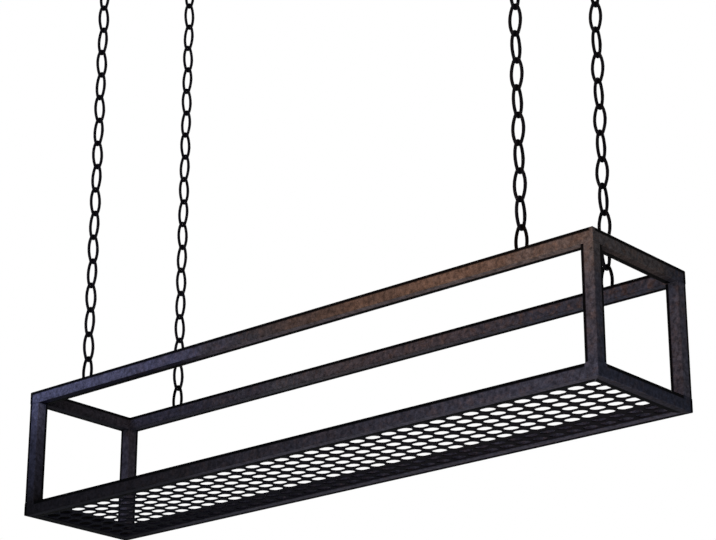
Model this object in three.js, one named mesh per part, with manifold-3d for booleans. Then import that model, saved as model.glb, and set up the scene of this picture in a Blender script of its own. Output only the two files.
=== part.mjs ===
// A hanging pot rack: a box frame of welded square steel tube, open at the top and the sides, with a floor of
// perforated sheet, that hangs on four oval-link chains from four ceiling hooks.
// Millimetres. +X runs along the rack, +Y across it, +Z up. The origin is on the ceiling, above the rack's middle.
import * as THREE from "three";
import { mergeVertices } from "three/addons/utils/BufferGeometryUtils.js";
import Module from "manifold-3d";

// Frame
const rackLength = 1350;
const rackWidth = 270;
const rackHeight = 250;
const tubeSize = 25;
const tubeWall = 2;
const seamGap = 0.3; // between two pieces that are welded together or bear on each other

// Floor sheet, inside the bottom rails and level with their undersides but for a small lift
const floorThickness = 2;
const floorLift = 1;
const openingRows = 8; // across the rack
const openingColumns = 37; // along the rack; the right end of the sheet is cut through the last column
const openingPitch = 35.35; // along the rack
const openingStart = 17.1; // from the left end of the sheet to the middle of the first column
const openingLength = 32;
const openingWidth = 21;
const openingFlat = 17; // the straight stretch of an opening's two long sides

// Chains
const chainInset = 150; // from the ends of the rack to the chains
const linkCount = 18; // in one chain, from the hook to the eye on the rail
const linkPitch = 51;
const linkWidth = 29;
const wire = 6; // thickness of links, eyes and hooks
const crownRadius = wire + seamGap; // of a link's ends, at the middle of its wire
const crownFlats = 3; // that stand for the arc of a crown and touch it from outside
const eyeReach = 40; // from the rail to where the lowest link bears on the eye
const looseLinks = 3; // links modelled singly at each end of a chain; those between them bear on each other as one run
const seatBite = 0.15; // how far the links of a run press into each other
const linkWireSides = 5;
const runWireSides = 4;
const hookWireSides = 6;
const sideCut = 0.36; // where a link's side is cut, as a share of the angle from its middle to the crown
const sideStretch = 1.008; // puts a side's three flats as far outside its arc as inside it

// Ceiling fittings
const plateLength = 70;
const plateWidth = 26;
const plateThickness = 4;
const screwSpacing = 46;
const screwHole = 5;
const shankHole = 7.5;
const holeSides = 10;
const plateEndSides = 10; // of the half circle at each end of a plate
const hookDrop = 40; // from the ceiling to where the highest link bears on the hook
const bowlRadius = 11; // of the hook's bowl, at the middle of its wire
const neckRadius = 5; // of the bend between the shank and the bowl
const hookSteps = 16; // along the hook's wire
const bowlEnd = THREE.MathUtils.degToRad(397); // where the bowl stops, round from +X through its bottom

const chainDrop = linkCount * linkPitch;
const rackTop = -(hookDrop + chainDrop + eyeReach);
const rackBase = rackTop - rackHeight;
const halfLink = (linkPitch + crownRadius) / 2; // from a link's middle to the middle of its crown's wire

const framePaint = new THREE.MeshStandardMaterial({ color: 0x2b2523, roughness: 0.5, metalness: 0.4 });
const floorPaint = new THREE.MeshStandardMaterial({ color: 0x1b1a1f, roughness: 0.55, metalness: 0.4 });
const chainBlack = new THREE.MeshStandardMaterial({ color: 0x141318, roughness: 0.45, metalness: 0.6 });
const fittingBlack = new THREE.MeshStandardMaterial({ color: 0x19181c, roughness: 0.5, metalness: 0.5 });

const manifold = await Module();
manifold.setup();

function toSolid(geometry) {
  const positions = geometry.index ? geometry.toNonIndexed() : geometry.clone();
  positions.deleteAttribute("normal");
  positions.deleteAttribute("uv");
  const merged = mergeVertices(positions, 1e-4);
  const mesh = new manifold.Mesh({
    numProp: 3,
    vertProperties: merged.attributes.position.array,
    triVerts: new Uint32Array(merged.index.array),
  });
  return new manifold.Manifold(mesh);
}

function toGeometry(solid) {
  const mesh = solid.getMesh();
  const geometry = new THREE.BufferGeometry();
  geometry.setAttribute("position", new THREE.BufferAttribute(mesh.vertProperties, 3));
  geometry.setIndex(new THREE.BufferAttribute(mesh.triVerts, 1));
  geometry.computeVertexNormals();
  return geometry;
}

function named(name, geometry, material) {
  const mesh = new THREE.Mesh(geometry, material);
  mesh.name = name;
  return mesh;
}

function polygon(radius, sides, centreX = 0) {
  const points = [];
  for (let i = 0; i < sides; i += 1) {
    const angle = (2 * Math.PI * i) / sides;
    points.push(new THREE.Vector2(centreX + radius * Math.cos(angle), radius * Math.sin(angle)));
  }
  return points;
}

function squareOutline(size) {
  const half = size / 2;
  return [
    new THREE.Vector2(-half, -half),
    new THREE.Vector2(half, -half),
    new THREE.Vector2(half, half),
    new THREE.Vector2(-half, half),
  ];
}

// Square tube along Z, centred on the origin.
function squareTube(length) {
  const section = new THREE.Shape(squareOutline(tubeSize));
  section.holes.push(new THREE.Path(squareOutline(tubeSize - 2 * tubeWall)));
  const geometry = new THREE.ExtrudeGeometry(section, { depth: length, bevelEnabled: false });
  geometry.translate(0, 0, -length / 2);
  return geometry;
}

// Square tube along X with its two ends mitred at 45 degrees. Its long side faces -Y, out of the frame.
function mitredRail(length) {
  const geometry = squareTube(length).rotateY(Math.PI / 2);
  const position = geometry.attributes.position;
  for (let i = 0; i < position.count; i += 1) {
    const inward = position.getY(i) + tubeSize / 2;
    const end = length / 2 - inward - seamGap / Math.SQRT2;
    position.setX(i, Math.sign(position.getX(i)) * end);
  }
  geometry.computeVertexNormals();
  return geometry;
}

// Four rails mitred into a flat rectangle, with its middle plane at z = 0.
function railRing(level) {
  const ring = new THREE.Group();
  const sides = [
    { name: "near", length: rackLength, reach: rackWidth, turn: 0 },
    { name: "right", length: rackWidth, reach: rackLength, turn: Math.PI / 2 },
    { name: "far", length: rackLength, reach: rackWidth, turn: Math.PI },
    { name: "left", length: rackWidth, reach: rackLength, turn: -Math.PI / 2 },
  ];
  for (const side of sides) {
    const rail = named(`${level}_rail_${side.name}`, mitredRail(side.length), framePaint);
    rail.position.y = -(side.reach - tubeSize) / 2;
    const turned = new THREE.Group();
    turned.rotation.z = side.turn;
    turned.add(rail);
    ring.add(turned);
  }
  return ring;
}

function cornerPosts() {
  const posts = new THREE.Group();
  const postHeight = rackHeight - 2 * tubeSize - 2 * seamGap;
  for (const [acrossName, across] of [["near", -1], ["far", 1]]) {
    for (const [alongName, along] of [["left", -1], ["right", 1]]) {
      const post = named(`post_${acrossName}_${alongName}`, squareTube(postHeight), framePaint);
      post.position.x = (along * (rackLength - tubeSize)) / 2;
      post.position.y = (across * (rackWidth - tubeSize)) / 2;
      post.position.z = rackHeight / 2;
      posts.add(post);
    }
  }
  return posts;
}

// An opening's six corners, anticlockwise from its right tip, about its middle.
function openingOutline(x, y) {
  const tip = openingLength / 2;
  const flat = openingFlat / 2;
  const side = openingWidth / 2;
  const corners = [[tip, 0], [flat, side], [-flat, side], [-tip, 0], [-flat, -side], [flat, -side]];
  return corners.map(([dx, dy]) => new THREE.Vector2(x + dx, y + dy));
}

// The cut that an opening at (x, y) leaves in the sheet's right end, from its lower to its upper corner.
function endNotch(x, y, end) {
  const corners = openingOutline(x, y);
  const [, upper, upperLeft, left, lowerLeft, lower] = corners;
  const reach = (end - upper.x) / (openingLength / 2 - openingFlat / 2);
  const rise = (openingWidth / 2) * (1 - reach);
  return [new THREE.Vector2(end, y - rise), lower, lowerLeft, left, upperLeft, upper, new THREE.Vector2(end, y + rise)];
}

function floorSheet() {
  const length = rackLength - 2 * tubeSize - 2 * seamGap;
  const width = rackWidth - 2 * tubeSize - 2 * seamGap;
  const rowPitch = (rackWidth - 2 * tubeSize) / openingRows;
  const rowMiddle = (row) => (row - (openingRows - 1) / 2) * rowPitch;
  const columnMiddle = (column) => -length / 2 + openingStart + column * openingPitch;

  const outline = [new THREE.Vector2(-length / 2, -width / 2), new THREE.Vector2(length / 2, -width / 2)];
  for (let row = 0; row < openingRows; row += 1) {
    outline.push(...endNotch(columnMiddle(openingColumns - 1), rowMiddle(row), length / 2));
  }
  outline.push(new THREE.Vector2(length / 2, width / 2), new THREE.Vector2(-length / 2, width / 2));

  const sheet = new THREE.Shape(outline);
  for (let column = 0; column < openingColumns - 1; column += 1) {
    for (let row = 0; row < openingRows; row += 1) {
      sheet.holes.push(new THREE.Path(openingOutline(columnMiddle(column), rowMiddle(row))));
    }
  }
  const geometry = new THREE.ExtrudeGeometry(sheet, { depth: floorThickness, bevelEnabled: false });
  const floor = named("floor_sheet", geometry, floorPaint);
  floor.position.z = floorLift;
  return floor;
}

// A wire of few sides is as wide on average as the round one.
const wireCorner = (sides) => (wire * Math.PI) / (2 * sides * Math.sin(Math.PI / sides));
const wireFlat = (sides) => wireCorner(sides) * Math.cos(Math.PI / sides);

// Where a link's wire is cut across, anticlockwise from its right side: two small crowns joined by two long bulging
// sides, all of them arcs about (x, y). A cut's facing is the direction in which the link faces outward there, and its
// stretch keeps the flats between the cuts as thick and as far out as the arc.
function linkCuts(halfLength) {
  const sideReach = (linkWidth - wire) / 2;
  const crownCentre = halfLength - crownRadius;
  const sideRadius = (sideReach ** 2 + crownCentre ** 2 - crownRadius ** 2) / (2 * (sideReach - crownRadius));
  const crownStart = Math.atan2(crownCentre, sideRadius - sideReach);
  const crownTurn = Math.PI - 2 * crownStart;
  const cuts = [];
  for (const side of [1, -1]) {
    const facing = side > 0 ? 0 : Math.PI;
    for (const turn of [-sideCut * crownStart, sideCut * crownStart]) {
      const x = -side * (sideRadius - sideReach);
      cuts.push({ x, y: 0, radius: sideRadius, stretch: sideStretch, facing: facing + turn });
    }
    const stretch = 1 / Math.cos(crownTurn / (2 * crownFlats));
    for (let corner = 0; corner <= crownFlats; corner += 1) {
      const turn = crownStart + (crownTurn * corner) / crownFlats;
      cuts.push({ x: 0, y: side * crownCentre, radius: crownRadius, stretch, facing: facing + turn });
    }
  }
  return cuts;
}

// A link in the XZ plane, its length along Z: a torus bent to the cuts, with a flat of its wire facing inward.
function linkGeometry(halfLength, wireSides) {
  const cuts = linkCuts(halfLength);
  const geometry = new THREE.TorusGeometry(linkWidth, wire, wireSides, cuts.length);
  const position = geometry.attributes.position;
  for (let i = 0; i < position.count; i += 1) {
    const cut = cuts[(i % (cuts.length + 1)) % cuts.length];
    const ring = Math.floor(i / (cuts.length + 1)) % wireSides;
    const angle = Math.PI + ((ring + 0.5) * 2 * Math.PI) / wireSides;
    const reach = (cut.radius + wireCorner(wireSides) * Math.cos(angle)) * cut.stretch;
    position.setX(i, cut.x + reach * Math.cos(cut.facing));
    position.setY(i, cut.y + reach * Math.sin(cut.facing));
    position.setZ(i, wireCorner(wireSides) * Math.sin(angle));
  }
  geometry.rotateX(Math.PI / 2);
  geometry.computeVertexNormals();
  return geometry;
}

// Links stand in the XZ plane and the YZ plane by turns, from the first below the hook.
const linkTurn = (number) => (number % 2 === 0 ? Math.PI / 2 : 0);
const linkMiddle = (number) => -hookDrop - (number - 0.5) * linkPitch;

function looseLink(name, number) {
  const label = String(number).padStart(2, "0");
  const link = named(`${name}_link_${label}`, linkGeometry(halfLink, linkWireSides), chainBlack);
  link.position.z = linkMiddle(number);
  link.rotation.z = linkTurn(number);
  return link;
}

// Links that bear on each other in one piece. Its two outer crowns stand where those of loose links would.
function linkRun(name, first, last) {
  const top = linkMiddle(first) + halfLink;
  const bottom = linkMiddle(last) - halfLink;
  const seat = 2 * wireFlat(runWireSides) - seatBite;
  const pitch = (top - bottom - seat) / (last - first + 1);
  const half = (pitch + seat) / 2;
  let run = null;
  for (let number = first; number <= last; number += 1) {
    const geometry = linkGeometry(half, runWireSides);
    geometry.rotateZ(linkTurn(number));
    geometry.translate(0, 0, top - half - (number - first) * pitch);
    const link = toSolid(geometry);
    run = run ? run.add(link) : link;
  }
  return named(`${name}_run`, toGeometry(run), chainBlack);
}

// The eye on a rail: a link that stands along the rail, cut off level where its legs are welded to it.
function railEye(name) {
  const link = linkGeometry(halfLink, linkWireSides);
  link.translate(0, 0, rackTop + eyeReach + crownRadius / 2 - halfLink);
  const rail = new THREE.BoxGeometry(2 * linkWidth, 2 * linkWidth, 2 * linkWidth);
  rail.translate(0, 0, rackTop + seamGap - linkWidth);
  return named(`${name}_eye`, toGeometry(toSolid(link).subtract(toSolid(rail))), framePaint);
}

function ceilingPlate(name) {
  const reach = (plateLength - plateWidth) / 2;
  const outline = new THREE.Shape();
  outline.absarc(reach, 0, plateWidth / 2, -Math.PI / 2, Math.PI / 2);
  outline.absarc(-reach, 0, plateWidth / 2, Math.PI / 2, (3 * Math.PI) / 2);
  outline.closePath();
  outline.holes.push(new THREE.Path(polygon(shankHole / 2, holeSides)));
  for (const side of [-1, 1]) {
    outline.holes.push(new THREE.Path(polygon(screwHole / 2, holeSides, (side * screwSpacing) / 2)));
  }
  const shape = { depth: plateThickness, bevelEnabled: false, curveSegments: plateEndSides / 2 };
  const geometry = new THREE.ExtrudeGeometry(outline, shape);
  geometry.translate(0, 0, -plateThickness);
  return named(`${name}_ceiling_plate`, geometry, fittingBlack);
}

// The hook's middle line in the XZ plane: a straight shank, a short bend aside, then round the bowl.
function hookLine() {
  const bowlMiddle = -hookDrop - crownRadius / 2 + bowlRadius;
  const bendDrop = Math.sqrt((neckRadius + bowlRadius) ** 2 - neckRadius ** 2);
  const bendTop = bowlMiddle + bendDrop;
  const bendAngle = Math.atan2(bendDrop, neckRadius);
  const line = new THREE.Path();
  line.moveTo(0, 0);
  line.lineTo(0, bendTop);
  line.absarc(-neckRadius, bendTop, neckRadius, 0, -bendAngle, true);
  line.absarc(0, bowlMiddle, bowlRadius, Math.PI - bendAngle, bowlEnd, false);
  const points = line.getSpacedPoints(4 * hookSteps).map((point) => new THREE.Vector3(point.x, 0, point.y));
  return new THREE.CatmullRomCurve3(points);
}

// The hook on a side of the rack, with its mouth outward.
function ceilingHook(name, across) {
  const section = new THREE.Shape(polygon(wireCorner(hookWireSides), hookWireSides));
  const geometry = new THREE.ExtrudeGeometry(section, { steps: hookSteps, extrudePath: hookLine() });
  geometry.rotateZ((across * Math.PI) / 2);
  return named(`${name}_ceiling_hook`, geometry, fittingBlack);
}

function hangingChain(name, across) {
  const chain = new THREE.Group();
  for (let number = 1; number <= looseLinks; number += 1) {
    chain.add(looseLink(name, number), looseLink(name, linkCount + 1 - number));
  }
  chain.add(linkRun(name, looseLinks + 1, linkCount - looseLinks));
  chain.add(railEye(name), ceilingPlate(name), ceilingHook(name, across));
  return chain;
}

const potRack = new THREE.Group();

const frame = new THREE.Group();
frame.position.z = rackBase;
const bottomRing = railRing("bottom");
bottomRing.position.z = tubeSize / 2;
const topRing = railRing("top");
topRing.position.z = rackHeight - tubeSize / 2;
frame.add(bottomRing, topRing, cornerPosts(), floorSheet());
potRack.add(frame);

for (const [acrossName, across] of [["near", -1], ["far", 1]]) {
  for (const [alongName, along] of [["left", -1], ["right", 1]]) {
    const chain = hangingChain(`${acrossName}_${alongName}`, across);
    chain.position.x = along * (rackLength / 2 - chainInset);
    chain.position.y = (across * (rackWidth - tubeSize)) / 2;
    potRack.add(chain);
  }
}

export default potRack;
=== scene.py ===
import math

import bmesh
import bpy
from mathutils import Matrix, Vector


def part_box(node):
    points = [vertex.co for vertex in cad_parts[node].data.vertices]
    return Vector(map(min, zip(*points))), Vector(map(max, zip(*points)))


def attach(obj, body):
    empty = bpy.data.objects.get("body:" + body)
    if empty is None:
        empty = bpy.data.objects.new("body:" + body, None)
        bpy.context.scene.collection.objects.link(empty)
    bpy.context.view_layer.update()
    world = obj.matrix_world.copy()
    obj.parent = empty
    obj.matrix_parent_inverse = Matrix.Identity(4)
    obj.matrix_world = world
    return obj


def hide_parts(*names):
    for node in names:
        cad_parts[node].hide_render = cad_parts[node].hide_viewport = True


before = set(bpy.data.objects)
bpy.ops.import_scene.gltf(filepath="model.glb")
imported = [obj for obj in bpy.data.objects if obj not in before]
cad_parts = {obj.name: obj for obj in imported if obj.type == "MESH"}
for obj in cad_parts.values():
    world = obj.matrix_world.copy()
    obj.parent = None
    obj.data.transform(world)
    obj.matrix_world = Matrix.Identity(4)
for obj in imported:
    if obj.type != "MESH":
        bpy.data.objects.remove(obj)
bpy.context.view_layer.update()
mm = 0.001
hair = 0.1 * mm  # what lies closer than this to a face counts as on it
mergeReach = 0.01 * mm
corners = ("near_left", "near_right", "far_left", "far_right")
print("frame loaded:", len(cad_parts), "nodes")


# camera, from below and to the right of the rack
cameraSetup = {
    "place": (2.5017, -2.8170, -2.2957),
    "turn": 40.88,  # degrees, from looking straight across the rack
    "tilt": 20.76,  # degrees, up from level
    "lens": 109.39,
    "sensor": 36,
    "clip": (0.05, 200),
}


def placeCamera(setup):
    facing = (math.radians(90 + setup["tilt"]), 0, math.radians(setup["turn"]))
    bpy.ops.object.camera_add(location=setup["place"], rotation=facing)
    camera = bpy.context.object
    camera.name = "rackCamera"
    camera.data.sensor_fit = "HORIZONTAL"
    camera.data.sensor_width = setup["sensor"]
    camera.data.lens = setup["lens"]
    camera.data.clip_start, camera.data.clip_end = setup["clip"]
    bpy.context.scene.camera = camera


placeCamera(cameraSetup)
print("camera placed")


# small tools
def deselectAll():
    if bpy.context.object and bpy.context.object.mode != "OBJECT":
        bpy.ops.object.mode_set(mode="OBJECT")
    bpy.ops.object.select_all(action="DESELECT")


def selectOnly(piece):
    deselectAll()
    piece.select_set(True)
    bpy.context.view_layer.objects.active = piece


def applyPlace(piece):
    selectOnly(piece)
    bpy.ops.object.transform_apply(location=True, rotation=True, scale=True)


def startEdit(piece):
    selectOnly(piece)
    bpy.ops.object.mode_set(mode="EDIT")
    bpy.ops.mesh.select_mode(type="VERT")


def endEdit():
    bpy.ops.object.mode_set(mode="OBJECT")


def pickVertices(piece, test):
    sheet = bmesh.from_edit_mesh(piece.data)
    for vertex in sheet.verts:
        vertex.select = bool(test(vertex.co))
    sheet.select_flush_mode()
    bmesh.update_edit_mesh(piece.data)


def pickEdges(piece, test):
    bpy.ops.mesh.select_mode(type="EDGE")
    bpy.ops.mesh.select_all(action="DESELECT")
    sheet = bmesh.from_edit_mesh(piece.data)
    for edge in sheet.edges:
        edge.select = bool(test(edge))
    sheet.select_flush_mode()
    bmesh.update_edit_mesh(piece.data)


def isAlong(edge, axis):
    return abs((edge.verts[0].co - edge.verts[1].co).normalized()[axis]) > 0.99


def addCube(name, middle, size, turn=0):
    deselectAll()
    bpy.ops.mesh.primitive_cube_add(size=1, location=middle, rotation=(0, 0, turn))
    piece = bpy.context.object
    piece.name = piece.data.name = name
    piece.scale = size
    applyPlace(piece)
    return piece


def applyModifier(piece, kind, **settings):
    selectOnly(piece)
    modifier = piece.modifiers.new(kind.lower(), kind)
    for key, value in settings.items():
        setattr(modifier, key, value)
    bpy.ops.object.modifier_apply(modifier=modifier.name)


def roundEdges(piece, width, segments, degrees):
    limit = math.radians(degrees)
    applyModifier(piece, "BEVEL", width=width, segments=segments, limit_method="ANGLE", angle_limit=limit)


def smoothByAngle(piece, degrees=35):
    selectOnly(piece)
    bpy.ops.object.shade_smooth_by_angle(angle=math.radians(degrees))


def markPaint(piece, name, value):
    mark = piece.data.attributes.get(name) or piece.data.attributes.new(name, "FLOAT", "POINT")
    for item, vertex in zip(mark.data, piece.data.vertices):
        item.value = value(vertex.co)


def copyPiece(master, name, move, turn=0.0):
    piece = master.copy()
    piece.data = master.data.copy()
    piece.name = piece.data.name = name
    bpy.context.collection.objects.link(piece)
    piece.data.transform(Matrix.Translation(move) @ Matrix.Rotation(turn, 4, "Z"))
    return piece


def joinPieces(pieces, name):
    deselectAll()
    for piece in pieces:
        piece.select_set(True)
    bpy.context.view_layer.objects.active = pieces[0]
    bpy.ops.object.join()
    joined = bpy.context.object
    joined.name = joined.data.name = name
    return joined


def removePiece(piece):
    mesh = piece.data
    bpy.data.objects.remove(piece)
    bpy.data.meshes.remove(mesh)


def finishPiece(piece, body, material, slot, *nodes):
    piece.data.materials.clear()
    piece.data.materials.append(material)
    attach(piece, body)
    if nodes:
        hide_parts(*nodes)


# paint finishes, all satin and nearly black; a tone is a list of stops (share of the rack's length,
# colour). The frame's tones hold painted light and shade: painted reflections of cool and warm light, a
# painted shadow's edge, and darker lower, far and under parts.
framePaintLook = {
    # painted reflection and shade: the blue at the left end and the bronze at the right stand for cool and
    # warm light on the rack, and the dark stops near the middle are a painted shadow's edge
    "high": [
        (0.00, (0.050, 0.055, 0.092)), (0.26, (0.037, 0.040, 0.068)), (0.36, (0.027, 0.027, 0.035)),
        (0.46, (0.022, 0.022, 0.025)), (0.58, (0.047, 0.032, 0.025)), (0.76, (0.080, 0.051, 0.037)),
        (1.00, (0.060, 0.053, 0.052)),
    ],
    "highUnder": [  # on undersides: painted shade, nearly black at the left end, and painted light towards the right
        (0.26, (0.004, 0.004, 0.010)), (0.42, (0.050, 0.046, 0.056)), (1.00, (0.085, 0.067, 0.064)),
    ],
    # the lower parts' tone: darker than the high one as painted shade, and darkest at the left end
    "low": [(0.00, (0.004, 0.004, 0.005)), (0.30, (0.008, 0.008, 0.010)), (1.00, (0.026, 0.028, 0.041))],
    # undersides of the lower parts: painted light and shade
    "lowUnder": [
        (0.20, (0.006, 0.006, 0.009)), (0.40, (0.028, 0.028, 0.037)), (1.00, (0.036, 0.035, 0.047)),
    ],
    "far": [  # of the high parts at the far side: darker there as painted shade
        (0.30, (0.019, 0.019, 0.026)), (0.41, (0.023, 0.023, 0.030)), (0.52, (0.038, 0.039, 0.045)),
        (0.62, (0.041, 0.037, 0.041)), (1.00, (0.024, 0.027, 0.040)),
    ],
    "neutral": [  # of the far posts and the left top rail: a plain tone set to how light they look there, so painted light and shade
        (0.18, (0.027, 0.026, 0.034)), (1.00, (0.046, 0.044, 0.055)),
    ],
    "drift": 0.16,
    "patch": (0.085, 0.048, 0.030),
    "patchScale": 85.0,
    "patchShare": 0.42,
    "mottle": 0.50,
    "mottleScale": 120.0,
    "speck": 0.22,
    "speckScale": 480.0,
    "roughness": (0.50, 0.70),
    "specular": 0.006,
    "peel": 0.22,
    # how dark a full "arris" mark makes the tone: painted dark lines along the arrises and painted shade
    "arrisShade": 0.03,
}
floorPaintLook = {
    "low": [
        (0.00, (0.0025, 0.0025, 0.005)), (0.60, (0.003, 0.0028, 0.0045)), (1.00, (0.005, 0.0045, 0.006)),
    ],
    "drift": 0.10,
    "patch": (0.010, 0.008, 0.007),
    "patchScale": 22.0,
    "patchShare": 0.25,
    "mottle": 0.30,
    "mottleScale": 90.0,
    "speck": 0.25,
    "speckScale": 520.0,
    "roughness": (0.55, 0.75),
    "specular": 0.005,
    "peel": 0.20,
    "arrisShade": 1.0,
}
chainBlackLook = {
    "low": [(0.00, (0.0035, 0.0035, 0.0055)), (1.00, (0.0035, 0.0035, 0.0050))],
    "drift": 0.05,
    "patch": (0.009, 0.008, 0.008),
    "patchScale": 70.0,
    "patchShare": 0.30,
    "mottle": 0.30,
    "mottleScale": 260.0,
    "speck": 0.25,
    "speckScale": 900.0,
    "roughness": (0.42, 0.60),
    "specular": 0.01,
    "peel": 0.18,
    "arrisShade": 1.0,
}
fittingBlackLook = dict(chainBlackLook, low=[(0.0, (0.010, 0.010, 0.012)), (1.0, (0.011, 0.011, 0.012))])
paintSetup = {
    "ends": (-0.7975, 0.5525),  # X + Y at the near side's two ends: the tones and their painted light and shade run askew across the rack
    "driftScale": 9.0,
    # each noise's detail and distortion
    "noise": {"drift": (3.0, 0.0), "patch": (4.0, 0.5), "mottle": (4.0, 0.3), "speck": (2.0, 0.0)},
    "noiseRoughness": 0.6,
    "plainSpread": (0.3, 0.7),  # the noise values that drift and roughness run between
    "patchSpread": (0.48, 0.68),
    "mottleSpread": (0.32, 0.68),
    "heights": (-1.248, -0.998),  # the rack's underside and top
    "rise": [(0.10, 0.0), (0.25, 0.14), (0.60, 0.28), (0.88, 1.0)],  # (share of height, of high tone): lower parts darker as painted shade
    "lowPatches": 0.4,  # how strong the patches are where the tone is low
    "farStart": (0.060, 0.105),  # the high tone gives way to the far one, with its painted shade, between these Y
    "farShare": 0.85,
    "farUnder": 1.45,  # painted light: undersides at the far side are lighter
    "peelDepth": 0.4 * mm,
}


def addMark(tree, name):
    mark = tree.nodes.new("ShaderNodeAttribute")
    mark.attribute_name = name
    return mark.outputs["Fac"]


def addNoise(tree, place, scale, kind):
    noise = tree.nodes.new("ShaderNodeTexNoise")
    noise.inputs["Scale"].default_value = scale
    detail, distortion = paintSetup["noise"][kind]
    noise.inputs["Detail"].default_value = detail
    noise.inputs["Distortion"].default_value = distortion
    noise.inputs["Roughness"].default_value = paintSetup["noiseRoughness"]
    tree.links.new(place, noise.inputs["Vector"])
    return noise.outputs["Fac"]


def addRange(tree, value, source, target):
    span = tree.nodes.new("ShaderNodeMapRange")
    span.inputs["From Min"].default_value = source[0]
    span.inputs["From Max"].default_value = source[1]
    span.inputs["To Min"].default_value = target[0]
    span.inputs["To Max"].default_value = target[1]
    tree.links.new(value, span.inputs["Value"])
    return span.outputs["Result"]


def addMath(tree, operation, first, second):
    step = tree.nodes.new("ShaderNodeMath")
    step.operation = operation
    tree.links.new(first, step.inputs[0])
    tree.links.new(second, step.inputs[1])
    return step.outputs[0]


def addStops(tree, value, stops):
    ramp = tree.nodes.new("ShaderNodeValToRGB")
    marks = ramp.color_ramp.elements
    marks[0].position = stops[0][0]
    marks[1].position = stops[-1][0]
    for position, _ in stops[1:-1]:
        marks.new(position)
    for mark, (_, colour) in zip(marks, stops):
        mark.color = (*colour, 1)
    tree.links.new(value, ramp.inputs["Fac"])
    return ramp.outputs["Color"]


def addMix(tree, share, first, second):
    mix = tree.nodes.new("ShaderNodeMix")
    mix.data_type = "RGBA"
    tree.links.new(share, mix.inputs["Factor"])
    tree.links.new(first, mix.inputs["A"])
    if isinstance(second, tuple):
        mix.inputs["B"].default_value = (*second, 1)
    else:
        tree.links.new(second, mix.inputs["B"])
    return mix.outputs["Result"]


def addUnderStops(tree, value, under, look, name):
    plain, below = addStops(tree, value, look[name]), addStops(tree, value, look[name + "Under"])
    return addMix(tree, under, plain, below)


def addScale(tree, colour, amount):
    scale = tree.nodes.new("ShaderNodeVectorMath")
    scale.operation = "SCALE"
    tree.links.new(colour, scale.inputs[0])
    tree.links.new(amount, scale.inputs["Scale"])
    return scale.outputs["Vector"]


# the frame's tone with its painted light and shade: own tones for undersides (the "under" mark) and the far
# side, darker lower parts, and a plain tone for the far posts and the left top rail
def addFrameTone(tree, parts, along, look):
    setup = paintSetup
    under = addMark(tree, "under")
    low = addUnderStops(tree, along, under, look, "low")
    high = addUnderStops(tree, along, under, look, "high")
    lift = addRange(tree, under, (0, 1), (1, setup["farUnder"]))
    far = addScale(tree, addStops(tree, along, look["far"]), lift)
    behind = addRange(tree, parts.outputs["Y"], setup["farStart"], (0, setup["farShare"]))
    high = addMix(tree, behind, high, far)
    stops = [(place, (share,) * 3) for place, share in setup["rise"]]
    rise = addStops(tree, addRange(tree, parts.outputs["Z"], setup["heights"], (0, 1)), stops)
    tone = addMix(tree, rise, low, high)
    tone = addMix(tree, addMark(tree, "neutral"), tone, addStops(tree, along, look["neutral"]))
    return tone, addRange(tree, rise, (0, 1), (setup["lowPatches"], 1))


def makePaint(name, look):
    setup = paintSetup
    material = bpy.data.materials.new(name)
    material.use_nodes = True
    tree = material.node_tree
    shader = tree.nodes["Principled BSDF"]
    shader.inputs["Metallic"].default_value = 0.0
    shader.inputs["Specular IOR Level"].default_value = look["specular"]

    place = tree.nodes.new("ShaderNodeTexCoord").outputs["Object"]
    parts = tree.nodes.new("ShaderNodeSeparateXYZ")
    tree.links.new(place, parts.inputs["Vector"])
    along = addMath(tree, "ADD", parts.outputs["X"], parts.outputs["Y"])
    along = addRange(tree, along, setup["ends"], (0, 1))
    reach = look["drift"] / 2
    drift = addNoise(tree, place, setup["driftScale"], "drift")
    along = addMath(tree, "ADD", along, addRange(tree, drift, setup["plainSpread"], (-reach, reach)))

    patch = addNoise(tree, place, look["patchScale"], "patch")
    patch = addRange(tree, patch, setup["patchSpread"], (0, look["patchShare"]))
    patch = addMath(tree, "MULTIPLY", patch, along)
    if "high" in look:
        tone, strength = addFrameTone(tree, parts, along, look)
        patch = addMath(tree, "MULTIPLY", patch, strength)
    else:
        tone = addStops(tree, along, look["low"])
    tone = addMix(tree, patch, tone, look["patch"])

    mottle = addNoise(tree, place, look["mottleScale"], "mottle")
    speck = addNoise(tree, place, look["speckScale"], "speck")
    for noise, depth in ((mottle, look["mottle"]), (speck, look["speck"])):
        tone = addScale(tree, tone, addRange(tree, noise, setup["mottleSpread"], (1 - depth, 1 + depth)))
    # the "arris" mark darkens the tone: painted dark lines along the arrises, painted shade over whole
    # faces, and the dark eyes
    tone = addScale(tree, tone, addRange(tree, addMark(tree, "arris"), (0, 1), (1, look["arrisShade"])))
    tree.links.new(tone, shader.inputs["Base Color"])
    roughness = addRange(tree, mottle, setup["plainSpread"], look["roughness"])
    tree.links.new(roughness, shader.inputs["Roughness"])

    bump = tree.nodes.new("ShaderNodeBump")
    bump.inputs["Strength"].default_value = look["peel"]
    bump.inputs["Distance"].default_value = setup["peelDepth"]
    tree.links.new(speck, bump.inputs["Height"])
    tree.links.new(bump.outputs["Normal"], shader.inputs["Normal"])
    return material


framePaint = makePaint("framePaint", framePaintLook)
floorPaint = makePaint("floorPaint", floorPaintLook)
chainBlack = makePaint("chainBlack", chainBlackLook)
fittingBlack = makePaint("fittingBlack", fittingBlackLook)
print("paints made")


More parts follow.
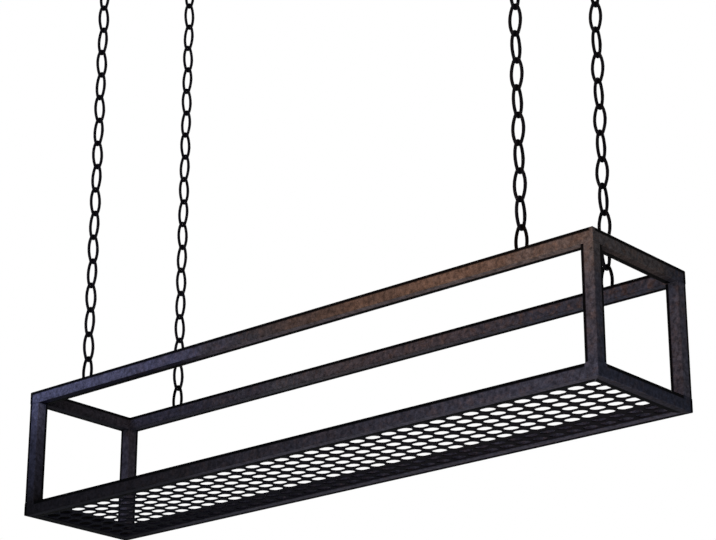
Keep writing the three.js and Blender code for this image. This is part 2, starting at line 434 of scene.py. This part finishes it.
# square tubes, mitred at the corners of the two rectangles, with posts between
tubeSetup = {
    "size": 25 * mm,
    "rackWidth": 270 * mm,
    "seamFill": 0.15 * mm,  # closes the seams against the next tube
    "arrisRadius": 1.7 * mm,
    "arrisSteps": 3,
    "darkUpright": (5.4 * mm, 7.4 * mm),  # where the painted dark line beside an arris ends, and has faded out
    "darkUnder": (11.0 * mm, 13.5 * mm),  # the same on undersides, where the wider band is painted shade
    "jointFade": 1.2 * mm,  # the line fades out before a welded joint
    "plainSides": (1, -1, -1),  # the arris between two of these sides of a tube has no darker line; they face the camera, so the painted dark lines lie on the outlines seen from there
    # painted shade: how much of the line's darkness the rest of a rail has, at the near and the far side of
    # the rack
    "shade": {"left": (0.90, 0.0), "right": (0.0, 0.15), "far": (0.0, 0.10)},
    # painted shade on undersides, the same way
    "shadeUnder": {"left": (0.70, 0.50), "right": (0.50, 0.60)},
}


def cutTube(piece, axis, places):
    for place in places:
        point, facing = [0, 0, 0], [0, 0, 0]
        point[axis], facing[axis] = place, 1
        bpy.ops.mesh.select_all(action="SELECT")
        bpy.ops.mesh.bisect(plane_co=point, plane_no=facing)


def makeTube(node, along, inside=None):
    setup = tubeSetup
    low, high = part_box(node)
    fill = [setup["seamFill"] * (2 if inside is None else 1) if axis == along else 0 for axis in range(3)]
    low, high = low - Vector(fill), high + Vector(fill)
    piece = addCube(node + "Tube", (low + high) / 2, high - low)
    startEdit(piece)
    across = 1 - along
    if inside is not None:
        for end in (-1, 1):
            reach = high[along] if end > 0 else low[along]
            edge = high[across] if inside > 0 else low[across]
            bpy.ops.mesh.select_mode(type="VERT")
            pickVertices(piece, lambda co: abs(co[along] - reach) < mm and abs(co[across] - edge) < mm)
            shift = [0, 0, 0]
            shift[along] = -end * setup["size"]
            bpy.ops.transform.translate(value=shift)
    pickEdges(piece, lambda edge: isAlong(edge, along))
    bpy.ops.mesh.bevel(offset=setup["arrisRadius"], segments=setup["arrisSteps"], affect="EDGES")

    bpy.ops.mesh.select_mode(type="VERT")
    flats = [axis for axis in range(3) if axis != along]
    bands = [setup["darkUpright"]] * 3
    if inside is not None:
        bands[across] = setup["darkUpright"] + setup["darkUnder"]
        for inset in (*bands[along], setup["size"], setup["size"] + setup["jointFade"]):
            cutTube(piece, along, (low[along] + inset, high[along] - inset))
    for axis in flats:
        for inset in bands[axis]:
            cutTube(piece, axis, (low[axis] + inset, high[axis] - inset))
    endEdit()

    def sideAt(co, axis, reach):
        if co[axis] < low[axis] + reach:
            return -1
        return 1 if co[axis] > high[axis] - reach else 0

    # painted dark lines beside the arrises, and painted shade over the rest of a rail
    def darkLineAndShadeAt(co):
        isUnder = co.z < low.z + hair
        reach = [setup["darkUpright"][0] + hair / 2] * 3
        if inside is not None and isUnder:
            reach[across] = setup["darkUnder"][0] + hair / 2
        corner = [sideAt(co, axis, reach[axis]) for axis in range(3)]
        dark = False
        if all(corner[axis] for axis in flats):
            dark = not all(corner[axis] == setup["plainSides"][axis] for axis in flats)
            postSide = 1 if node.startswith("bottom") else -1
            if inside is not None and sideAt(co, along, setup["size"] + hair / 2) and corner[2] == postSide:
                dark = False
        if inside is not None and corner[along] and corner[across] == -inside:
            dark = not all(corner[axis] == setup["plainSides"][axis] for axis in (0, 1))
        shade = setup["shadeUnder"] if isUnder else setup["shade"]
        near, far = shade.get(node.split("rail_")[-1], (0.0, 0.0))
        return 1.0 if dark else near + (far - near) * (co.y / setup["rackWidth"] + 0.5)

    markPaint(piece, "arris", darkLineAndShadeAt)
    # the far posts and the left top rail take the plain tone, set to how light they look, as painted light
    # and shade
    neutral = float(node.startswith("post_far") or node == "top_rail_left")
    markPaint(piece, "neutral", lambda co: neutral)
    if inside is not None:
        markPaint(piece, "under", lambda co: float(co.z < low.z + hair))
    smoothByAngle(piece)
    finishPiece(piece, "rack", framePaint, "frame_paint", node)


for level in ("bottom", "top"):
    makeTube(level + "_rail_near", 0, 1)
    makeTube(level + "_rail_far", 0, -1)
    makeTube(level + "_rail_left", 1, 1)
    makeTube(level + "_rail_right", 1, -1)
for side in corners:
    makeTube("post_" + side, 2)
print("tubes made")


# welds at the eight corners, ground almost flush
weldSetup = {
    "proud": 0.12 * mm,
    "width": 1.6 * mm,
    "edge": 0.35 * mm,
    "edgeSteps": 2,
    "edgeAngle": 50,
    "collarSteps": 3,
    "endInset": 1.5 * mm,  # from the arrises to the ends of the mitre's bead
}


def makeCornerWeld(level, side):
    setup = weldSetup
    tube = tubeSetup["size"]
    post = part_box("post_" + side)
    middle = (post[0] + post[1]) / 2
    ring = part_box(level + "_rail_near")
    seam = ring[1].z if level == "bottom" else ring[0].z
    ringMiddle = (ring[0].z + ring[1].z) / 2
    proud = setup["proud"]
    width = tube + 2 * proud
    collar = addCube("collar", (middle.x, middle.y, seam), (width, width, setup["width"]))
    startEdit(collar)
    pickEdges(collar, lambda edge: isAlong(edge, 2))
    radius = tubeSetup["arrisRadius"] + proud
    bpy.ops.mesh.bevel(offset=radius, segments=setup["collarSteps"], affect="EDGES")
    endEdit()

    lean = 45 if middle.x * middle.y > 0 else -45
    length = tube * math.sqrt(2) - 2 * setup["endInset"]
    size = (length, setup["width"], width)
    mitre = addCube("mitre", (middle.x, middle.y, ringMiddle), size, math.radians(lean))
    for bead in (collar, mitre):
        roundEdges(bead, setup["edge"], setup["edgeSteps"], setup["edgeAngle"])
    weld = joinPieces([collar, mitre], f"{level}_{side}_weld")
    markPaint(weld, "under", lambda co: float(co.z < ring[0].z + hair))
    smoothByAngle(weld)
    finishPiece(weld, "rack", framePaint, "frame_paint")


for level in ("bottom", "top"):
    for side in corners:
        makeCornerWeld(level, side)
print("welds made")


# floor sheet with its net of openings
floorSetup = {
    "rows": 8,
    "columns": 37,
    "pitch": (35.35 * mm, 27.5 * mm),
    "firstColumn": 17.1 * mm,  # from the left end of the sheet to the middle of its first openings
    "opening": (32 * mm, 21 * mm),
    "flat": 17 * mm,
    "rounding": 3.0 * mm,
    "lip": 0.35 * mm,
    "lipAngle": 60,
    "smoothAngle": 40,
    "reach": (650 * mm, 110 * mm),  # the sheet is welded to the rails here
}


def makeFloorSheet():
    setup = floorSetup
    low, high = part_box("floor_sheet")
    tip, side, flat = setup["opening"][0] / 2, setup["opening"][1] / 2, setup["flat"] / 2
    halfX, halfY = setup["pitch"][0] / 2, setup["pitch"][1] / 2

    deselectAll()
    bpy.ops.mesh.primitive_circle_add(
        vertices=6, radius=1, fill_type="NOTHING", location=(0, 0, 0), rotation=(0, 0, math.pi / 2),
    )
    piece = bpy.context.object
    piece.name = piece.data.name = "floorSheet"
    applyPlace(piece)
    for vertex in piece.data.vertices:  # from a regular hexagon to the opening's shape
        x, y = vertex.co.x, vertex.co.y
        isTip = abs(x) > 0.9
        vertex.co = (math.copysign(tip if isTip else flat, x), 0 if isTip else math.copysign(side, y), 0)
    startEdit(piece)
    bpy.ops.mesh.select_all(action="SELECT")
    bpy.ops.mesh.bevel(offset=setup["rounding"], segments=1, affect="VERTICES")
    bpy.ops.mesh.select_all(action="SELECT")
    bpy.ops.mesh.extrude_edges_move()
    cell = bmesh.from_edit_mesh(piece.data)
    rim = [vertex for vertex in cell.verts if vertex.select]
    for vertex in rim:
        away = min(halfX / max(abs(vertex.co.x), 1e-9), halfY / max(abs(vertex.co.y), 1e-9))
        vertex.co = (vertex.co.x * away, vertex.co.y * away, 0)
    for cornerX in (-halfX, halfX):
        for cornerY in (-halfY, halfY):
            nearest = min(rim, key=lambda vertex: (vertex.co - Vector((cornerX, cornerY, 0))).length)
            nearest.co = (cornerX, cornerY, 0)
    bmesh.update_edit_mesh(piece.data)
    bpy.ops.mesh.select_all(action="SELECT")
    bpy.ops.mesh.normals_make_consistent(inside=False)
    firstX = low.x + setup["firstColumn"]
    firstY = -(setup["rows"] - 1) / 2 * setup["pitch"][1]
    bpy.ops.transform.translate(value=(firstX, firstY, (low.z + high.z) / 2))
    endEdit()

    for axis, count in ((0, setup["columns"]), (1, setup["rows"])):
        step = [0, 0, 0]
        step[axis] = setup["pitch"][axis]
        applyModifier(
            piece, "ARRAY", count=count, use_relative_offset=False, use_constant_offset=True,
            constant_offset_displace=step, use_merge_vertices=True, merge_threshold=mergeReach,
        )
    startEdit(piece)
    for axis in (0, 1):
        for end in (-1, 1):
            edge, outward = [0, 0, 0], [0, 0, 0]
            edge[axis] = end * setup["reach"][axis]
            outward[axis] = end
            bpy.ops.mesh.select_all(action="SELECT")
            bpy.ops.mesh.bisect(plane_co=edge, plane_no=outward, clear_outer=True)
    bpy.ops.mesh.select_all(action="SELECT")
    bpy.ops.mesh.remove_doubles(threshold=mergeReach)
    endEdit()
    applyModifier(piece, "SOLIDIFY", thickness=high.z - low.z, offset=0)
    roundEdges(piece, setup["lip"], 1, setup["lipAngle"])
    smoothByAngle(piece, setup["smoothAngle"])
    finishPiece(piece, "rack", floorPaint, "floor_paint", "floor_sheet")


makeFloorSheet()
print("floor sheet made")


# chain links, eyes and hooks of round wire
wireSetup = {
    "radius": 3 * mm,
    "sides": 12,
    "linkWidth": 28.7 * mm,
    "linkPitch": 51 * mm,
    "crownRadius": 6.3 * mm,  # middle of the wire round the next link's wire
    "crownSteps": 8,
    "sideSteps": 6,
    "linkCount": 18,
    "hookDrop": 40 * mm,
    "seamSwell": 0.28 * mm,  # of the butt weld in one side of each link
    "smoothAngle": 60,
    "beadRing": 3.5 * mm,  # the weld round the foot of an eye or hook
    "bead": 1.4 * mm,
    "beadSides": (20, 8),
    "beadSwell": (0.10, 1.9),  # how uneven the bead is, and the turn from one bulge to the next, in radians
}
linkHalf = (wireSetup["linkPitch"] + wireSetup["crownRadius"]) / 2
crownMiddle = linkHalf - wireSetup["crownRadius"]
sideReach = wireSetup["linkWidth"] / 2 - wireSetup["radius"]
sideRadius = (sideReach ** 2 + crownMiddle ** 2 - wireSetup["crownRadius"] ** 2) / (
    2 * (sideReach - wireSetup["crownRadius"])
)
crownStart = math.atan2(crownMiddle, sideRadius - sideReach)
crownTurn = math.pi - 2 * crownStart


def startWire(name, place, lean=0.0):
    deselectAll()
    bpy.ops.mesh.primitive_circle_add(
        vertices=wireSetup["sides"], radius=wireSetup["radius"], fill_type="NOTHING",
        location=place, rotation=(0, -lean, 0),
    )
    piece = bpy.context.object
    piece.name = piece.data.name = name
    applyPlace(piece)
    startEdit(piece)
    bpy.ops.mesh.select_all(action="SELECT")
    return piece


def bendWire(centre, angle, steps):
    axis = (0, 1, 0) if angle > 0 else (0, -1, 0)
    bpy.ops.mesh.spin(steps=steps, angle=abs(angle), center=centre, axis=axis)


def closeWire(piece):
    bpy.ops.mesh.select_all(action="SELECT")
    bpy.ops.mesh.remove_doubles(threshold=mergeReach)
    bpy.ops.mesh.select_all(action="SELECT")
    bpy.ops.mesh.normals_make_consistent(inside=False)
    endEdit()


def makeLinkMaster():
    setup = wireSetup
    piece = startWire("linkMaster", (sideReach, 0, 0))
    half = setup["sideSteps"] // 2
    bendWire((sideReach - sideRadius, 0, 0), crownStart, half)
    bendWire((0, 0, crownMiddle), crownTurn, setup["crownSteps"])
    bendWire((sideRadius - sideReach, 0, 0), 2 * crownStart, setup["sideSteps"])
    bendWire((0, 0, -crownMiddle), crownTurn, setup["crownSteps"])
    bendWire((sideReach - sideRadius, 0, 0), crownStart, half)
    closeWire(piece)
    for vertex in piece.data.vertices:  # a faint swelling where the wire's ends meet
        if vertex.co.x > 0 and abs(vertex.co.z) < 0.5 * mm:
            vertex.co.y *= 1 + setup["seamSwell"] / setup["radius"]
    smoothByAngle(piece, setup["smoothAngle"])
    return piece


chainPlaces = {}
for side in corners:
    low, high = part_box(side + "_link_01")
    chainPlaces[side] = Vector(((low.x + high.x) / 2, (low.y + high.y) / 2, 0))


def linkHeight(number):
    return -(wireSetup["hookDrop"] + (number - 0.5) * wireSetup["linkPitch"])


def copyLink(master, side, number):
    turn = 0.0 if number % 2 else math.pi / 2
    move = chainPlaces[side] + Vector((0, 0, linkHeight(number)))
    return copyPiece(master, f"{side}_link{number:02d}", move, turn)


def hangChain(master, side):
    lastLink = wireSetup["linkCount"]
    run = []
    for number in range(1, lastLink + 1):
        link = copyLink(master, side, number)
        node = f"{side}_link_{number:02d}"
        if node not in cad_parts:
            run.append(link)
            continue
        body = {1: "_top_link", lastLink: "_bottom_link"}.get(number, "_chain")
        finishPiece(link, side + body, chainBlack, "chain_black", node)
    joined = joinPieces(run, side + "_chainRun")
    finishPiece(joined, side + "_chain", chainBlack, "chain_black", side + "_run")


linkMaster = makeLinkMaster()
for side in chainPlaces:
    hangChain(linkMaster, side)
removePiece(linkMaster)
print("chains made")


# eyes on the long top rails, each a half link with its feet welded down
eyeSetup = {
    "reach": 40 * mm,  # from the rail to where the lowest link bears
    "footDepth": 1.2 * mm,  # the feet end inside the rail's wall
    "dark": 1.0,  # as dark as a tube's arris
}


def addBead(place):
    setup = wireSetup
    ringSides, sides = setup["beadSides"]
    deselectAll()
    bpy.ops.mesh.primitive_torus_add(
        location=place, major_segments=ringSides, minor_segments=sides,
        major_radius=setup["beadRing"], minor_radius=setup["bead"],
    )
    bead = bpy.context.object
    applyPlace(bead)
    depth, turn = setup["beadSwell"]
    for index, vertex in enumerate(bead.data.vertices):
        swell = 1 + depth * math.sin(index // sides * turn)
        vertex.co.x = place[0] + (vertex.co.x - place[0]) * swell
        vertex.co.y = place[1] + (vertex.co.y - place[1]) * swell
    return bead


def makeEye(side):
    setup = eyeSetup
    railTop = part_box("top_rail_near")[1].z
    middle = railTop + setup["reach"] + wireSetup["crownRadius"] / 2 - linkHalf
    foot = -math.asin((middle - railTop + setup["footDepth"]) / sideRadius)
    place = (sideReach - sideRadius + sideRadius * math.cos(foot), 0, sideRadius * math.sin(foot))
    piece = startWire("eye", place, foot)
    steps = wireSetup["sideSteps"]
    bendWire((sideReach - sideRadius, 0, 0), crownStart - foot, steps)
    bendWire((0, 0, crownMiddle), crownTurn, wireSetup["crownSteps"])
    bendWire((sideRadius - sideReach, 0, 0), crownStart - foot, steps)
    bpy.ops.mesh.edge_face_add()
    pickVertices(piece, lambda co: co.x > 0 and (co - Vector(place)).length < wireSetup["radius"] * 1.05)
    bpy.ops.mesh.edge_face_add()
    closeWire(piece)
    legAngle = -math.asin((middle - railTop) / sideRadius)
    leg = sideReach - sideRadius + sideRadius * math.cos(legAngle)
    beads = [addBead((end * leg, 0, railTop - middle)) for end in (-1, 1)]
    master = joinPieces([piece] + beads, "eyeMaster")
    markPaint(master, "arris", lambda co: setup["dark"])
    smoothByAngle(master, wireSetup["smoothAngle"])
    eye = copyPiece(master, side + "_railEye", chainPlaces[side] + Vector((0, 0, middle)))
    removePiece(master)
    finishPiece(eye, "rack", framePaint, "frame_paint", side + "_eye")


for side in chainPlaces:
    makeEye(side)
print("eyes made")


# ceiling hooks and the plates that they are welded to
hookSetup = {
    "bowl": 11 * mm,
    "neck": 5 * mm,
    "bowlEnd": 397,  # degrees, round from +X through the bottom
    "neckSteps": 6,
    "bowlSteps": 22,
    "shankTop": 0.1 * mm,  # below the plate's top
    "tip": 1.8 * mm,
    "tipSteps": ((0.5, 0.86), (0.5, 0.62)),  # (share of the tip's length, how far the wire narrows)
}
plateSetup = {
    "screwSpacing": 46 * mm,
    "screwHole": 5 * mm,
    "holeSides": 24,
    "sinkRadii": (5.6 * mm, 1.9 * mm),  # at the ends of the cone that cuts the countersink
    "sinkDepth": 4 * mm,
    "sinkRise": 0.6 * mm,  # from the plate's underside up to that cone's middle
    "edge": 0.7 * mm,
    "edgeSteps": 2,
    "edgeAngle": 60,
    "sides": 48,
}


def makeHook(side):
    setup = hookSetup
    bowlMiddle = -wireSetup["hookDrop"] - wireSetup["crownRadius"] / 2 + setup["bowl"]
    drop = math.sqrt((setup["neck"] + setup["bowl"]) ** 2 - setup["neck"] ** 2)
    bendTop = bowlMiddle + drop
    bendAngle = math.atan2(drop, setup["neck"])
    piece = startWire("hook", (0, 0, -setup["shankTop"]))
    bpy.ops.mesh.edge_face_add()
    bpy.ops.mesh.select_all(action="SELECT")
    bpy.ops.mesh.extrude_edges_move(TRANSFORM_OT_translate={"value": (0, 0, bendTop + setup["shankTop"])})
    bendWire((-setup["neck"], 0, bendTop), -bendAngle, setup["neckSteps"])
    bowlTurn = math.radians(setup["bowlEnd"]) - (math.pi - bendAngle)
    bendWire((0, 0, bowlMiddle), bowlTurn, setup["bowlSteps"])
    end = math.radians(setup["bowlEnd"])
    along = Vector((-math.sin(end), 0, math.cos(end)))
    tipMiddle = Vector((setup["bowl"] * math.cos(end), 0, bowlMiddle + setup["bowl"] * math.sin(end)))
    for share, grow in setup["tipSteps"]:
        step = along * setup["tip"] * share
        bpy.ops.mesh.extrude_edges_move(TRANSFORM_OT_translate={"value": step})
        tipMiddle = tipMiddle + step
        bpy.ops.transform.resize(value=(grow, grow, grow), center_override=tipMiddle)
    bpy.ops.mesh.edge_face_add()
    closeWire(piece)
    bead = addBead((0, 0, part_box(side + "_ceiling_plate")[0].z))
    master = joinPieces([piece, bead], "hookMaster")
    smoothByAngle(master, wireSetup["smoothAngle"])
    outward = -math.pi / 2 if side.startswith("near") else math.pi / 2
    hook = copyPiece(master, side + "_hook", chainPlaces[side], outward)
    removePiece(master)
    finishPiece(hook, "ceiling_fittings", fittingBlack, "fitting_black", side + "_ceiling_hook")


def makePlate(side):
    setup = plateSetup
    low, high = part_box(side + "_ceiling_plate")
    middle, size = (low + high) / 2, high - low
    deselectAll()
    bpy.ops.mesh.primitive_cylinder_add(
        vertices=setup["sides"], radius=size.y / 2, depth=size.z, location=middle, end_fill_type="NGON",
    )
    plate = bpy.context.object
    plate.name = plate.data.name = side + "_plate"
    applyPlace(plate)
    startEdit(plate)
    for end in (-1, 1):
        bpy.ops.mesh.select_mode(type="VERT")
        pickVertices(plate, lambda co: (co.x - middle.x) * end > 0.5 * mm)
        bpy.ops.transform.translate(value=(end * (size.x - size.y) / 2, 0, 0))
    endEdit()
    roundEdges(plate, setup["edge"], setup["edgeSteps"], setup["edgeAngle"])
    for end in (-1, 1):
        place = (middle.x + end * setup["screwSpacing"] / 2, middle.y, middle.z)
        deselectAll()
        bpy.ops.mesh.primitive_cylinder_add(
            vertices=setup["holeSides"], radius=setup["screwHole"] / 2, depth=3 * size.z, location=place,
        )
        drill = bpy.context.object
        bpy.ops.mesh.primitive_cone_add(
            vertices=setup["holeSides"], radius1=setup["sinkRadii"][0], radius2=setup["sinkRadii"][1],
            depth=setup["sinkDepth"], location=(*place[:2], low.z + setup["sinkRise"]),
        )
        sink = bpy.context.object
        for tool in (drill, sink):
            applyModifier(plate, "BOOLEAN", operation="DIFFERENCE", object=tool, solver="EXACT")
            removePiece(tool)
    smoothByAngle(plate)
    finishPiece(plate, "ceiling_fittings", fittingBlack, "fitting_black", side + "_ceiling_plate")


for side in chainPlaces:
    makeHook(side)
    makePlate(side)
print("hooks and plates made")


# pale floor far below, white surroundings and soft lamps
stageSetup = {
    "floorHeight": -2.95,
    "floorSize": 80,
    "floorColour": (0.78, 0.78, 0.78),  # as it lights the rack
    "floorSeen": (0.50, 0.50, 0.50),
    "floorGlow": 0.56,  # lifts the floor that is seen to a pale tone
    "surround": (0.40, 0.44, 0.50),  # light that comes from all sides
}
lampAim = {"share": 0.6, "height": -1.05}  # lamps face the rack, at this share of their own X
lampSetup = {
    "warmRight": {"place": (0.70, -1.30, -0.20), "size": 0.9, "power": 16, "colour": (1.0, 0.58, 0.34)},
    "coolLeft": {"place": (-1.45, -1.45, -0.20), "size": 0.9, "power": 24, "colour": (0.58, 0.66, 1.0)},
    "fillBelow": {"place": (0.50, -1.20, -2.30), "size": 1.0, "power": 24, "colour": (1.0, 0.90, 0.82)},
    "fillBehind": {"place": (-0.70, 1.60, -0.30), "size": 1.0, "power": 26, "colour": (1.0, 0.98, 0.95)},
}


def addBackground(tree, colour):
    light = tree.nodes.new("ShaderNodeBackground")
    light.inputs["Color"].default_value = (*colour, 1)
    return light.outputs[0]


def mixWhereSeen(tree, unseen, seen, output):
    path = tree.nodes.new("ShaderNodeLightPath")
    direct = addMath(tree, "MAXIMUM", path.outputs["Is Camera Ray"], path.outputs["Is Glossy Ray"])
    share = addMath(tree, "MAXIMUM", direct, path.outputs["Is Transmission Ray"])
    mix = tree.nodes.new("ShaderNodeMixShader")
    tree.links.new(share, mix.inputs[0])
    tree.links.new(unseen, mix.inputs[1])
    tree.links.new(seen, mix.inputs[2])
    tree.links.new(mix.outputs[0], output.inputs["Surface"])


def addMatte(tree, colour):
    matte = tree.nodes.new("ShaderNodeBsdfDiffuse")
    matte.inputs["Color"].default_value = (*colour, 1)
    return matte.outputs[0]


def buildStage(setup):
    deselectAll()
    bpy.ops.mesh.primitive_plane_add(size=setup["floorSize"], location=(0, 0, setup["floorHeight"]))
    floor = bpy.context.object
    floor.name = floor.data.name = "studioFloor"
    pale = bpy.data.materials.new("paleFloor")
    pale.use_nodes = True
    tree = pale.node_tree
    tree.nodes.clear()
    glow = tree.nodes.new("ShaderNodeEmission")
    glow.inputs["Strength"].default_value = setup["floorGlow"]
    lifted = tree.nodes.new("ShaderNodeAddShader")
    tree.links.new(addMatte(tree, setup["floorSeen"]), lifted.inputs[0])
    tree.links.new(glow.outputs[0], lifted.inputs[1])
    output = tree.nodes.new("ShaderNodeOutputMaterial")
    mixWhereSeen(tree, addMatte(tree, setup["floorColour"]), lifted.outputs[0], output)
    floor.data.materials.append(pale)

    world = bpy.data.worlds.new("paleRoom")
    bpy.context.scene.world = world
    world.use_nodes = True
    tree = world.node_tree
    tree.nodes.clear()
    output = tree.nodes.new("ShaderNodeOutputWorld")
    mixWhereSeen(tree, addBackground(tree, setup["surround"]), addBackground(tree, (1, 1, 1)), output)


def hangLamp(name, setup):
    deselectAll()
    bpy.ops.object.light_add(type="AREA", location=setup["place"])
    lamp = bpy.context.object
    lamp.name = name
    lamp.data.size = setup["size"]
    lamp.data.energy = setup["power"]
    lamp.data.color = setup["colour"]
    aim = Vector((setup["place"][0] * lampAim["share"], 0, lampAim["height"])) - Vector(setup["place"])
    lamp.rotation_mode = "QUATERNION"
    lamp.rotation_quaternion = aim.to_track_quat("-Z", "Y")


buildStage(stageSetup)
for lampName, lampLook in lampSetup.items():
    hangLamp(lampName, lampLook)
bpy.context.scene.view_settings.view_transform = "Standard"
print("stage and lamps set")
